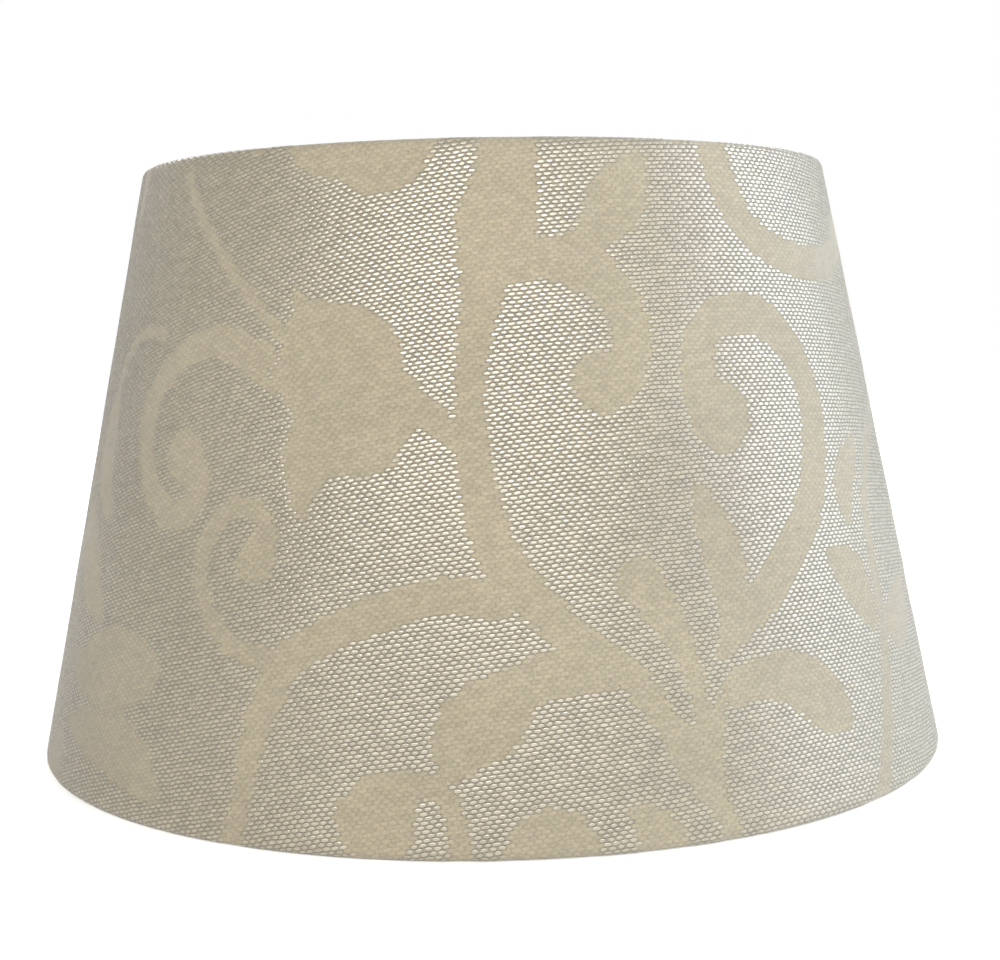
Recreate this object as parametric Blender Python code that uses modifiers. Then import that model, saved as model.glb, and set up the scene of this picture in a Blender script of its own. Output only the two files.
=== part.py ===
"""Tapered lamp shade: woven cloth laminated to a stiff lining and rolled over two wire rings, with a
reversible gimbal fitter under the top ring. Metres, +Z up, origin at the centre of the bottom rim."""

import math

import bmesh
import bpy
from mathutils import Matrix, Vector

# ---- Driving dimensions, in metres ----
BOTTOM_DIAMETER = 0.300  # over the cloth
TOP_DIAMETER = 0.225  # over the cloth
HEIGHT = 0.191
CLOTH = 0.0008  # thickness of the cover
PANEL = 0.0005  # thickness of the lining
FIT_GAP = 0.0003  # left between pieces that lie against each other
RING_WIRE = 0.003  # diameter of the wire in both rings and in the arms

LAP_WIDTH = 0.013  # of the overlap in the cover and in the lining, at the bottom rim
LAP_INSET = 0.0010  # the laps stop this far short of the two rolls

ARM_SPREAD = 0.032  # between an arm's two welds on the top ring
ARM_REACH = 0.052  # from the shade's axis to the centre of the arm's inner bend
ARM_BEND = 0.005  # radius of that bend
ARM_DROP = 0.016  # the bend lies this far below the top ring
NOTCH_CLEARANCE = 0.0006  # round an arm where it leaves the rolled cloth

LUG_WIDTH = 0.009
LUG_THICKNESS = 0.0015
PIVOT_BELOW_ARM = 0.005  # from the arm's bend down to the pivot axis
PIVOT_CLEARANCE = 0.0004  # round the pin in its lug
PIVOT_END_PLAY = 0.0005
PIN_HEAD = 0.0052  # diameter of the pin's upset head
PIN_HEAD_THICKNESS = 0.0012

STIRRUP_WIRE = 0.0028
STIRRUP_BEND = 0.004  # from the pin into the leg
FOOT_BEND = 0.0024  # from the leg in under the fitter ring
STIRRUP_DROP = 0.020  # from the pivot axis down to the fitter ring
STIRRUP_SPACE = 0.0024  # between a stirrup's leg and its lug
STIRRUP_LAP = 0.004  # how far the stirrup's foot reaches in under the fitter ring

FITTER_OUTER = 0.058
FITTER_HOLE = 0.042
FITTER_THICKNESS = 0.0012

REDUCER_HOLE = 0.029
REDUCER_FLANGE = 0.051
REDUCER_FLANGE_THICKNESS = 0.0018
REDUCER_SPIGOT_DEPTH = 0.0032  # below the fitter ring's top face
REDUCER_CLEARANCE = 0.0004  # round the spigot in the fitter ring's hole
REDUCER_EDGE = 0.0004  # chamfer on the reducer's outer corners

# ---- Finishes: colour, roughness, metallic ----
CLOTH_FINISH = ((0.66, 0.62, 0.52), 0.85, 0.0)
LINING_FINISH = ((0.90, 0.90, 0.88), 0.45, 0.0)
WIRE_FINISH = ((0.85, 0.85, 0.83), 0.40, 0.0)
PLASTIC_FINISH = ((0.88, 0.88, 0.87), 0.35, 0.0)

# ---- Facets ----
RIM_STEPS = 72  # round the shade
FITTER_STEPS = 48  # round the fitter and reducer
ROLL_STEP = math.radians(22)  # along the rolled hem
WIRE_SIDES = 12
CORNER_STEPS = 5
MERGE = 0.00005
SHARP = math.radians(35)

# ---- Worked out from the above ----
FULL_TURN = 2 * math.pi
FACET = FULL_TURN / RIM_STEPS
BACK = math.pi / 2  # the laps are on the side away from the front, which faces -Y
SIDES = (("left", -1), ("right", 1))

# The cloth goes round a ring at this radius, and the lining lies between it and the ring on the outer side.
ROLL_RADIUS = RING_WIRE / 2 + FIT_GAP + CLOTH / 2
PANEL_OFFSET = RING_WIRE / 2 + FIT_GAP + PANEL / 2
WALL_OFFSET = PANEL_OFFSET + PANEL / 2 + FIT_GAP + CLOTH / 2
RING_INSET = ROLL_RADIUS + CLOTH / 2  # from the rim's flat edge to the centre of its wire

LEAN = math.atan2((BOTTOM_DIAMETER - TOP_DIAMETER) / 2, HEIGHT - 2 * RING_INSET)
OUTWARD = Vector((math.cos(LEAN), math.sin(LEAN)))  # square to the wall, as (radius, height)
UPWARD = Vector((-math.sin(LEAN), math.cos(LEAN)))  # along the wall
RING_TO_OUTSIDE = (WALL_OFFSET + CLOTH / 2) * math.cos(LEAN)
BOTTOM_RING = Vector((BOTTOM_DIAMETER / 2 - RING_TO_OUTSIDE, RING_INSET))
TOP_RING = Vector((TOP_DIAMETER / 2 - RING_TO_OUTSIDE, HEIGHT - RING_INSET))

ARM_HEIGHT = TOP_RING.y - ARM_DROP
PIVOT_HEIGHT = ARM_HEIGHT - PIVOT_BELOW_ARM
LUG_OUTER_FACE = ARM_REACH - ARM_BEND - RING_WIRE / 2 - FIT_GAP
FITTER_HEIGHT = PIVOT_HEIGHT - STIRRUP_DROP


def clear_scene():
    for obj in list(bpy.data.objects):
        bpy.data.objects.remove(obj)


def new_collection(name):
    collection = bpy.data.collections.new(name)
    bpy.context.scene.collection.children.link(collection)
    return collection


def own_material(obj, finish):
    """Gives an object a material of its own with that colour, roughness and metallic value."""
    colour, roughness, metallic = finish
    material = bpy.data.materials.new(obj.name)
    material.use_nodes = True
    shader = material.node_tree.nodes["Principled BSDF"]
    shader.inputs["Base Color"].default_value = (*colour, 1.0)
    shader.inputs["Roughness"].default_value = roughness
    shader.inputs["Metallic"].default_value = metallic
    obj.data.materials.clear()
    obj.data.materials.append(material)


def add_object(name, data, finish, collection):
    obj = bpy.data.objects.new(name, data)
    own_material(obj, finish)
    collection.objects.link(obj)
    return obj


def adopt(obj, name, finish, collection):
    """Names an object an operator has just made and moves it to its collection."""
    obj.name = name
    own_material(obj, finish)
    obj.data.shade_smooth()
    for home in list(obj.users_collection):
        home.objects.unlink(obj)
    collection.objects.link(obj)
    return obj


def frozen(obj):
    """The object's mesh with its modifiers worked in and a curve's loose end caps joined on."""
    graph = bpy.context.evaluated_depsgraph_get()
    mesh = bpy.data.meshes.new_from_object(obj.evaluated_get(graph))
    work = bmesh.new()
    work.from_mesh(mesh)
    bmesh.ops.remove_doubles(work, verts=work.verts, dist=MERGE)
    work.to_mesh(mesh)
    work.free()
    mesh.shade_smooth()
    mesh.set_sharp_from_angle(angle=SHARP)
    return mesh


def operand(name, start, direction, length, radius, sides, finish, collection):
    """A hidden cylinder for a Boolean, running from start in that direction."""
    bpy.ops.mesh.primitive_cylinder_add(
        vertices=sides,
        radius=radius,
        depth=length,
        location=start + direction * (length / 2),
        rotation=direction.to_track_quat("Z", "Y").to_euler(),
    )
    obj = adopt(bpy.context.object, name, finish, collection)
    obj.hide_render = True
    obj.display_type = "WIRE"
    return obj


def turned(name, profile, finish, collection, steps, angle=FULL_TURN, start=0.0, closed=False):
    """A profile of (radius, height) points at +X, turned about Z from the angle start."""
    count = len(profile)
    edges = [(i, (i + 1) % count) for i in range(count if closed else count - 1)]
    mesh = bpy.data.meshes.new(name)
    mesh.from_pydata([(radius, 0.0, height) for radius, height in profile], edges, [])
    obj = add_object(name, mesh, finish, collection)
    obj.rotation_euler.z = start
    screw = obj.modifiers.new("turn", "SCREW")
    screw.axis = "Z"
    screw.angle = angle
    screw.steps = steps
    screw.render_steps = steps
    screw.use_merge_vertices = angle == FULL_TURN
    screw.merge_threshold = MERGE
    screw.use_smooth_shade = True
    return obj


def thicken(obj, thickness):
    """Gives an open surface its wall, half of it on each side."""
    solidify = obj.modifiers.new("wall", "SOLIDIFY")
    solidify.thickness = thickness
    solidify.offset = 0.0
    solidify.use_even_offset = True
    return obj


def round_corners(points, radii):
    """The route with each inner corner made an arc, of the radius given for it."""
    points = [Vector(p) for p in points]
    route = [points[0]]
    for before, corner, after, radius in zip(points, points[1:], points[2:], radii):
        back = (before - corner).normalized()
        on = (after - corner).normalized()
        half = back.angle(on) / 2
        centre = corner + (back + on).normalized() * (radius / math.sin(half))
        first = corner + back * (radius / math.tan(half)) - centre
        last = corner + on * (radius / math.tan(half)) - centre
        sweep = first.angle(last)
        for step in range(CORNER_STEPS + 1):
            turn = sweep * step / CORNER_STEPS
            spoke = (first * math.sin(sweep - turn) + last * math.sin(turn)) / math.sin(sweep)
            route.append(centre + spoke)
    route.append(points[-1])
    return route


def wire(name, route, diameter, finish, collection):
    curve = bpy.data.curves.new(name, "CURVE")
    curve.dimensions = "3D"
    curve.bevel_depth = diameter / 2
    curve.bevel_resolution = WIRE_SIDES // 4 - 1
    curve.use_fill_caps = True
    spline = curve.splines.new("POLY")
    spline.points.add(len(route) - 1)
    for point, place in zip(spline.points, route):
        point.co = (*place, 1.0)
    return add_object(name, curve, finish, collection)


# ---- Cover, lining and rings ----


def roll(ring, side):
    """Cloth round a ring, from the wall to its tucked edge: side is +1 at the top ring, -1 at the bottom."""
    down = math.pi / 2 + side * -LEAN  # where the roll faces straight up or down
    angles = []
    angle = down - ROLL_STEP / 2
    while angle > ROLL_STEP / 3:
        angles.insert(0, angle)
        angle -= ROLL_STEP
    angles.insert(0, 0.0)
    angle = down + ROLL_STEP / 2
    tuck = math.acos((PANEL_OFFSET - PANEL / 2 - FIT_GAP - CLOTH / 2) / ROLL_RADIUS)
    while angle < FULL_TURN - tuck:
        angles.append(angle)
        angle += ROLL_STEP
    corner_radius = ROLL_RADIUS / math.cos(ROLL_STEP / 2)
    points = []
    for angle in angles:
        round_to_flat = min(angle / (down - ROLL_STEP / 2), 1.0)
        widening = math.cos(math.pi / 2 * round_to_flat) ** 2
        reach = corner_radius + (WALL_OFFSET - corner_radius) * widening
        points.append(ring + reach * (math.cos(angle) * OUTWARD + side * math.sin(angle) * UPWARD))
    return points


def leg_end(side, edge):
    """Where an arm's leg meets the top ring, and where it leaves the inner bend."""
    bend_centre = Vector((ARM_REACH, 0.0))
    weld_angle = math.asin(ARM_SPREAD / 2 / TOP_RING.x)
    weld = TOP_RING.x * Vector((math.cos(weld_angle), math.sin(weld_angle)))
    to_weld = weld - bend_centre
    slope = math.atan2(to_weld.y, to_weld.x) - math.asin(ARM_BEND / to_weld.length)
    tangent = bend_centre + ARM_BEND * Vector((-math.sin(slope), math.cos(slope)))
    outer = Vector((side * weld.x, edge * weld.y, TOP_RING.y))
    inner = Vector((side * tangent.x, edge * tangent.y, ARM_HEIGHT))
    return outer, inner, slope


def add_cover(parts, cutters):
    """One piece of cloth down the wall, rolled over the top ring and under the bottom ring."""
    profile = list(reversed(roll(TOP_RING, 1))) + roll(BOTTOM_RING, -1)
    cover = thicken(turned("fabric_cover", profile, CLOTH_FINISH, parts, RIM_STEPS), CLOTH)
    radius = RING_WIRE / 2 + NOTCH_CLEARANCE
    for word, side in SIDES:
        for place, edge in (("front", -1), ("back", 1)):
            outer, inner, _ = leg_end(side, edge)
            along = (inner - outer).normalized()
            notch = cover.modifiers.new("notch", "BOOLEAN")
            notch.operation = "DIFFERENCE"
            notch.solver = "EXACT"
            name = f"notch_{word}_{place}"
            length = 2 * RING_INSET
            notch.object = operand(name, outer, along, length, radius, WIRE_SIDES, CLOTH_FINISH, cutters)


def wall_line(offset, inset):
    """The wall at that distance outside the rings' centres, from top to bottom."""
    return [
        TOP_RING + offset * OUTWARD - inset * UPWARD,
        BOTTOM_RING + offset * OUTWARD + inset * UPWARD,
    ]


def add_lining(parts):
    """A sheet between the cover and the two rings, bonded to the cover's back."""
    thicken(turned("lining_panel", wall_line(PANEL_OFFSET, 0.0), LINING_FINISH, parts, RIM_STEPS), PANEL)


def add_laps(parts):
    """The ends of the cover and of the lining, where each laps over its own start at the back."""
    span = LAP_WIDTH / (BOTTOM_DIAMETER / 2)
    steps = math.ceil(span / FACET)
    over_cover = wall_line(WALL_OFFSET + CLOTH + FIT_GAP, LAP_INSET)
    thicken(turned("cover_lap", over_cover, CLOTH_FINISH, parts, steps, span, BACK - span), CLOTH)
    under_lining = wall_line(PANEL_OFFSET - PANEL - FIT_GAP, 2 * RING_INSET + LAP_INSET)
    thicken(turned("lining_lap", under_lining, LINING_FINISH, parts, steps, span, BACK), PANEL)


def add_ring(name, ring, parts):
    bpy.ops.mesh.primitive_torus_add(
        major_radius=ring.x,
        minor_radius=RING_WIRE / 2,
        major_segments=RIM_STEPS,
        minor_segments=WIRE_SIDES,
        location=(0.0, 0.0, ring.y),
    )
    adopt(bpy.context.object, name, WIRE_FINISH, parts)


# ---- Arms and lugs, welded to the top ring ----


def add_arm(name, side, parts):
    """A hairpin of wire: two legs from the top ring, dropping to one inner bend."""
    legs = {edge: leg_end(side, edge) for edge in (-1, 1)}
    route = []
    for edge in (1, -1):
        outer, inner, slope = legs[edge]
        weld_gap = (RING_WIRE / 2 + FIT_GAP) / math.cos(slope)
        start = outer + (inner - outer).normalized() * weld_gap
        route += [start, inner] if edge > 0 else [inner, start]
    slope = legs[1][2]
    sweep = math.pi - 2 * slope
    bend = []
    for step in range(1, 2 * CORNER_STEPS):
        angle = math.pi / 2 + slope + sweep * step / (2 * CORNER_STEPS)
        x = ARM_REACH + ARM_BEND * math.cos(angle)
        bend.append(Vector((side * x, ARM_BEND * math.sin(angle), ARM_HEIGHT)))
    wire(name, route[:2] + bend + route[2:], RING_WIRE, WIRE_FINISH, parts)


def add_lug(name, side, parts):
    """A flat plate with round ends, welded across the arm's bend, with the pivot hole in its lower end."""
    curve = bpy.data.curves.new(name, "CURVE")
    curve.dimensions = "2D"
    curve.fill_mode = "BOTH"
    curve.extrude = LUG_THICKNESS / 2
    half = LUG_WIDTH / 2
    ends = ((0.0, math.pi), (PIVOT_BELOW_ARM, 0.0))
    outline = []
    for height, first in ends:
        for step in range(2 * CORNER_STEPS + 1):
            angle = first + math.pi * step / (2 * CORNER_STEPS)
            outline.append((half * math.cos(angle), height + half * math.sin(angle)))
    hole_radius = STIRRUP_WIRE / 2 + PIVOT_CLEARANCE
    sides = 2 * WIRE_SIDES
    hole = []
    for step in range(sides):
        angle = -FULL_TURN * step / sides
        hole.append((hole_radius * math.cos(angle), hole_radius * math.sin(angle)))
    for loop in (outline, hole):
        spline = curve.splines.new("POLY")
        spline.use_cyclic_u = True
        spline.points.add(len(loop) - 1)
        for point, (across, up) in zip(spline.points, loop):
            point.co = (across, up, 0.0, 1.0)
    lug = add_object(name, curve, WIRE_FINISH, parts)
    lug.location = (side * (LUG_OUTER_FACE - LUG_THICKNESS / 2), 0.0, PIVOT_HEIGHT)
    lug.rotation_euler = (math.pi / 2, 0.0, math.pi / 2)


# ---- Gimbal: two stirrups and the fitter ring, turning on the lugs about X ----


def add_stirrup(name, side, parts, cutters):
    """Wire from its upset head through the lug, down a leg and in under the fitter ring."""
    head_face = LUG_OUTER_FACE + PIVOT_END_PLAY
    leg = LUG_OUTER_FACE - LUG_THICKNESS - STIRRUP_SPACE - STIRRUP_WIRE / 2
    foot_height = FITTER_HEIGHT - FITTER_THICKNESS / 2 - FIT_GAP - STIRRUP_WIRE / 2
    corners = [
        (side * (head_face + PIN_HEAD_THICKNESS / 2), 0.0, PIVOT_HEIGHT),
        (side * leg, 0.0, PIVOT_HEIGHT),
        (side * leg, 0.0, foot_height),
        (side * (FITTER_OUTER / 2 - STIRRUP_LAP), 0.0, foot_height),
    ]
    route = round_corners(corners, (STIRRUP_BEND, FOOT_BEND))
    rod = wire(name, route, STIRRUP_WIRE, WIRE_FINISH, parts)
    mesh = frozen(rod)
    bpy.data.objects.remove(rod)
    stirrup = add_object(name, mesh, WIRE_FINISH, parts)
    start = Vector((side * head_face, 0.0, PIVOT_HEIGHT))
    outward = Vector((side, 0.0, 0.0))
    union = stirrup.modifiers.new("head", "BOOLEAN")
    union.operation = "UNION"
    union.solver = "EXACT"
    union.object = operand(
        f"{name}_head", start, outward, PIN_HEAD_THICKNESS, PIN_HEAD / 2, 2 * WIRE_SIDES, WIRE_FINISH, cutters
    )
    return stirrup


def solid_ring(name, profile, finish, parts):
    """A closed profile turned all the way round, smooth but for its corners."""
    blank = turned(name, profile, finish, parts, FITTER_STEPS, closed=True)
    mesh = frozen(blank)
    bpy.data.objects.remove(blank)
    return add_object(name, mesh, finish, parts)


def add_fitter(parts):
    top = FITTER_HEIGHT + FITTER_THICKNESS / 2
    bottom = FITTER_HEIGHT - FITTER_THICKNESS / 2
    profile = [
        (FITTER_OUTER / 2, top),
        (FITTER_OUTER / 2, bottom),
        (FITTER_HOLE / 2, bottom),
        (FITTER_HOLE / 2, top),
    ]
    return solid_ring("fitter_ring", profile, WIRE_FINISH, parts)


def hang_on_pivot(pieces, parts):
    """The gimbal's pieces turn together about X on this empty."""
    pivot = bpy.data.objects.new("gimbal_pivot", None)
    pivot.location.z = PIVOT_HEIGHT
    parts.objects.link(pivot)
    for piece in pieces:
        piece.parent = pivot
        piece.matrix_parent_inverse = Matrix.Translation((0.0, 0.0, -PIVOT_HEIGHT))


def add_reducer(parts):
    """A flanged ring that drops into the fitter ring and narrows its hole."""
    seat = FITTER_HEIGHT + FITTER_THICKNESS / 2
    underside = seat + FIT_GAP
    top = underside + REDUCER_FLANGE_THICKNESS
    bottom = seat - REDUCER_SPIGOT_DEPTH
    bore = REDUCER_HOLE / 2
    flange = REDUCER_FLANGE / 2
    spigot = FITTER_HOLE / 2 - REDUCER_CLEARANCE
    profile = [
        (bore, top),
        (flange - REDUCER_EDGE, top),
        (flange, top - REDUCER_EDGE),
        (flange, underside),
        (spigot, underside),
        (spigot, bottom + REDUCER_EDGE),
        (spigot - REDUCER_EDGE, bottom),
        (bore, bottom),
    ]
    solid_ring("reducer_ring", profile, PLASTIC_FINISH, parts)


def main():
    clear_scene()
    parts = new_collection("lamp_shade")
    cutters = new_collection("cutters")
    add_cover(parts, cutters)
    add_lining(parts)
    add_laps(parts)
    add_ring("top_ring", TOP_RING, parts)
    add_ring("bottom_ring", BOTTOM_RING, parts)
    gimbal = [add_fitter(parts)]
    for word, side in SIDES:
        add_arm(f"arm_{word}", side, parts)
        add_lug(f"lug_{word}", side, parts)
        gimbal.append(add_stirrup(f"stirrup_{word}", side, parts, cutters))
    hang_on_pivot(gimbal, parts)
    add_reducer(parts)


main()
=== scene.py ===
import math

import bmesh
import bpy
import numpy as np
from mathutils import Matrix, Vector, noise


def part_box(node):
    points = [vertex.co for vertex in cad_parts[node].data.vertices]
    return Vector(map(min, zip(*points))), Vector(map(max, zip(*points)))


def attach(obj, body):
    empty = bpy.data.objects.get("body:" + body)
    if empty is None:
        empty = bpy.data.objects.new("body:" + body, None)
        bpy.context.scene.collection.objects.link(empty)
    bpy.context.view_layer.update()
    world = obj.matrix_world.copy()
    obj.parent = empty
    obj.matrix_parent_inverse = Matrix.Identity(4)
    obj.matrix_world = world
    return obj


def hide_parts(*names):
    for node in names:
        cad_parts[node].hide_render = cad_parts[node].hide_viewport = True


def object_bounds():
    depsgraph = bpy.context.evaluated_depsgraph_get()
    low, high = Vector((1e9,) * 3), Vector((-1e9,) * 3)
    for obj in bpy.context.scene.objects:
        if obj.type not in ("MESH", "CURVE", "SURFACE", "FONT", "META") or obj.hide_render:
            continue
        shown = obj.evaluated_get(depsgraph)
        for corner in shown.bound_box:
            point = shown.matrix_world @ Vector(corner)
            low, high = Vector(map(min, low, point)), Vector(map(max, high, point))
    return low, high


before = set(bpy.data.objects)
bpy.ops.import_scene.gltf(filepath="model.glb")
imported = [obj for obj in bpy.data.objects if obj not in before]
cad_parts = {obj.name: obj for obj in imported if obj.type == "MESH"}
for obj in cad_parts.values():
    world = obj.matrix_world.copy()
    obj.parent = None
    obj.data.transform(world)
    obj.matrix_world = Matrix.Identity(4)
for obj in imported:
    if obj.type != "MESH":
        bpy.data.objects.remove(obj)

cad_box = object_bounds()

# ---- Camera ----
# Stands three-quarters of the way up the shade, just over half a metre in front of its middle, and
# looks down a little. It is turned and tipped by a degree or less, as a hand-held camera is.
CAMERA_PLACE = (0.0, -0.5812, 0.1400)
CAMERA_LENS = 61.2
CAMERA_SENSOR = 36.0
CAMERA_TURN = -0.0068219
CAMERA_TILT = -0.0916685
CAMERA_TIP = 0.0169428


def put_in_scene(name, data):
    """A new object with that data, in the scene."""
    thing = bpy.data.objects.new(name, data)
    bpy.context.scene.collection.objects.link(thing)
    return thing


camera_data = bpy.data.cameras.new("camera")
camera_data.sensor_width = CAMERA_SENSOR
camera_data.lens = CAMERA_LENS
camera_data.clip_start = 0.01
camera = put_in_scene("camera", camera_data)
camera.matrix_world = (
    Matrix.Translation(CAMERA_PLACE)
    @ Matrix.Rotation(CAMERA_TURN, 4, "Z")
    @ Matrix.Rotation(CAMERA_TILT, 4, "X")
    @ Matrix.Rotation(CAMERA_TIP, 4, "Y")
    @ Matrix.Rotation(math.pi / 2, 4, "X")
)
bpy.context.scene.camera = camera

# ---- Cover ----
# One piece of ivory and beige figured cloth, cut as part of a ring, laminated to a stiff backing and
# drawn round the two wire rings. Its ends overlap in a glued seam at the back, and its edges are
# rolled round the rings and tucked in behind them.
CLOTH_THICKNESS = 0.0008
CARD_THICKNESS = 0.0005
GLUE_GAP = 0.0003  # between pieces that lie against each other
RING_WIRE = 0.003
SEAM_WIDTH = 0.013
SEAM_START = math.radians(85.03)  # the cloth's first end, round from +X
CLOTH_COLUMNS = 404
CLOTH_ROWS = 80  # up the wall between the two hems
HEM_ROWS = 15
HEM_TURN = math.radians(300)  # of cloth round each ring
HEM_LAP_FADE = math.radians(60)  # the seam's step dies out in this much of the hem
SEAM_RAMP = math.radians(2.6)
FIGURE_SINK = 0.00012  # the flat-woven figure lies this far below the raised ground
FIGURE_STEP = 1.2  # mm, across the figure's edge from the one level to the other
SLACK = 0.00018  # how far the glued cloth wanders in and out
SLACK_WAVES = (22, 60)  # to a metre, long and short


def ring_centre(node):
    """A wire ring's centre line, as (radius, height)."""
    low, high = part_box(node)
    return Vector(((high.x - low.x - RING_WIRE) / 2, (low.z + high.z) / 2))


bottom_ring = ring_centre("bottom_ring")
top_ring = ring_centre("top_ring")
up_wall = (top_ring - bottom_ring).normalized()
out_of_wall = Vector((up_wall.y, -up_wall.x))
lean = math.atan2(-up_wall.x, up_wall.y)
hem_radius = RING_WIRE / 2 + GLUE_GAP + CLOTH_THICKNESS / 2
wall_offset = RING_WIRE / 2 + CARD_THICKNESS + 2 * GLUE_GAP + CLOTH_THICKNESS / 2
seam_lift = CLOTH_THICKNESS + GLUE_GAP
seam_angle = SEAM_WIDTH / cad_box[1].x


def hem_line(ring, side):
    """Points of the cloth round a ring, from the wall to the tucked edge, each with the way out of it."""
    flat = math.pi / 2 - side * lean  # where the hem faces straight up or down
    points = []
    for row in range(HEM_ROWS + 1):
        angle = HEM_TURN * row / HEM_ROWS
        widening = math.cos(math.pi / 2 * min(angle / flat, 1.0)) ** 2
        reach = hem_radius + (wall_offset - hem_radius) * widening
        outward = math.cos(angle) * out_of_wall + side * math.sin(angle) * up_wall
        points.append((ring + reach * outward, outward, angle))
    return points


def wall_line(rows, offset):
    """Points down the wall from the top ring to the bottom one, at that distance outside their centres."""
    top = top_ring + offset * out_of_wall
    bottom = bottom_ring + offset * out_of_wall
    return [(top.lerp(bottom, row / rows), out_of_wall, 0.0) for row in range(rows + 1)]


def spun(line, start, turn, columns):
    """The line of points turned about the shade's axis from an angle, as an open sheet."""
    sheet = bmesh.new()
    row = [sheet.verts.new((p.x * math.cos(start), p.x * math.sin(start), p.y)) for p, _, _ in line]
    edges = [sheet.edges.new(pair) for pair in zip(row, row[1:])]
    bmesh.ops.spin(
        sheet, geom=row + edges, cent=(0, 0, 0), axis=(0, 0, 1), angle=turn, steps=columns, use_merge=False
    )
    sheet.verts.index_update()
    return sheet


def as_mesh(name, work, crease=None):
    """A bmesh made into a smooth mesh, with sharp edges where it turns by more than the crease."""
    mesh = bpy.data.meshes.new(name)
    work.to_mesh(mesh)
    work.free()
    mesh.shade_smooth()
    if crease is not None:
        mesh.set_sharp_from_angle(angle=crease)
    return mesh


def add_piece(name, mesh, body, material, slot, *nodes):
    """A finished mesh as a piece that rides on a body and stands for CAD nodes."""
    piece = put_in_scene(name, mesh)
    mesh.materials.clear()
    mesh.materials.append(material)
    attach(piece, body)
    if nodes:
        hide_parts(*nodes)
    return piece


def applied(name, mesh, *modifiers):
    """A mesh with modifiers worked in, each given as its kind and its settings."""
    holder = put_in_scene(name, mesh)
    for kind, settings in modifiers:
        modifier = holder.modifiers.new(kind.lower(), kind)
        for key, value in settings.items():
            setattr(modifier, key, value)
    graph = bpy.context.evaluated_depsgraph_get()
    done = bpy.data.meshes.new_from_object(
        holder.evaluated_get(graph), preserve_all_data_layers=True, depsgraph=graph
    )
    bpy.data.objects.remove(holder)
    done.name = name
    return done


# The figure: scrolls as centre lines of (x, y, width) and leaves as outlines of (x, y), in mm on the
# flat cloth, with x round the shade from the front and y up from the bottom edge.
SCROLLS = (
    # main stem, from the top rim down and over to the right
    ((7, 200, 15), (6, 184, 17), (3, 170, 22), (0, 158, 14), (-1, 148, 11), (-4, 134, 8.5), (-4.5, 117, 8.5),
     (-3, 100, 10), (0.5, 85, 11.5), (6, 74, 12), (18, 62, 10), (36, 49, 9), (47, 36, 8), (53, 27, 10),
     (58, 20, 9.5), (62, 13, 7), (65.5, 6.5, 5.5), (69, -6, 5)),
    # curled branch on its right
    ((2, 158, 12), (12, 161, 12), (22, 160, 13), (31, 156, 13), (38, 149, 12), (40.5, 140, 12),
     (39, 131, 12), (32, 127, 18)),
    # flower's filaments
    ((-58, 143, 4), (-66, 152, 4), (-78, 166, 4), (-90, 182, 4), (-98, 196, 4)),
    ((-60, 128, 3), (-72, 136, 3), (-82, 142, 3)),
    # small curl on the left
    ((-60, 53, 6), (-72, 57, 6), (-80, 63, 6), (-85, 72, 6), (-86, 82, 6), (-82, 91, 6), (-75, 96, 6),
     (-67, 95, 6), (-63, 88, 7), (-67, 81, 13)),
    # arch and its leg
    ((1, 68, 10), (-10, 70, 10), (-22, 68, 10), (-35, 64, 10), (-45, 60, 10), (-56, 54, 10), (-62, 45, 10),
     (-67, 33, 8.5), (-70, 20, 6.5), (-74, 5, 7), (-77, -8, 7)),
    # bulb at the bottom and its tail
    ((-31, 12, 23), (-27, 19, 10), (-16, 20, 6), (-10, 11, 6), (-8, -6, 6)),
    # round bud at the bottom
    ((15.5, 1, 26), (15.5, -6, 26)),
    # club leaf
    ((41, 73, 14), (46, 66, 11), (53, 54, 7), (57, 42, 5), (58, 36, 5), (58, 28, 7)),
    # heart loop and its bulb
    ((67.5, 119, 21), (62, 126, 13), (61, 137, 11), (66, 146, 11), (76, 149, 12), (88, 148, 12),
     (99, 140, 12), (105.5, 128, 12), (106, 114, 12), (102, 98, 12), (93, 84, 12), (83, 72, 11), (73, 63, 10),
     (67, 57, 7), (63.5, 51.5, 2)),
    # second stem
    ((66, 45, 3), (63.5, 40, 4), (61.5, 34, 6), (60, 28, 8), (60, 22, 8), (62, 15, 6)),
    # band at the top right
    ((67, 202, 11), (74, 184, 11), (83, 174, 11), (95, 170, 11), (108, 169.5, 11), (122, 172, 11),
     (138, 180, 11), (150, 192, 11)),
    # spiral on the far left
    ((-65, 138, 9), (-78, 144, 9), (-90, 144, 9), (-103, 139, 9), (-112, 130, 9), (-114, 118, 9),
     (-111, 106, 9), (-103, 98, 9), (-94, 96, 9), (-88, 103, 9), (-94, 112, 17)),
    # stem that joins the leaves on the far right
    ((116, -6, 7), (128, 15, 7), (135, 38, 6.5), (138, 60, 6), (136, 80, 6), (135, 100, 5), (143, 118, 5),
     (157, 131, 5), (168, 143, 4)),
    # arc on the far left
    ((-140, 142, 4), (-127, 152, 4), (-115, 153, 4), (-107, 150, 4)),
)
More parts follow.
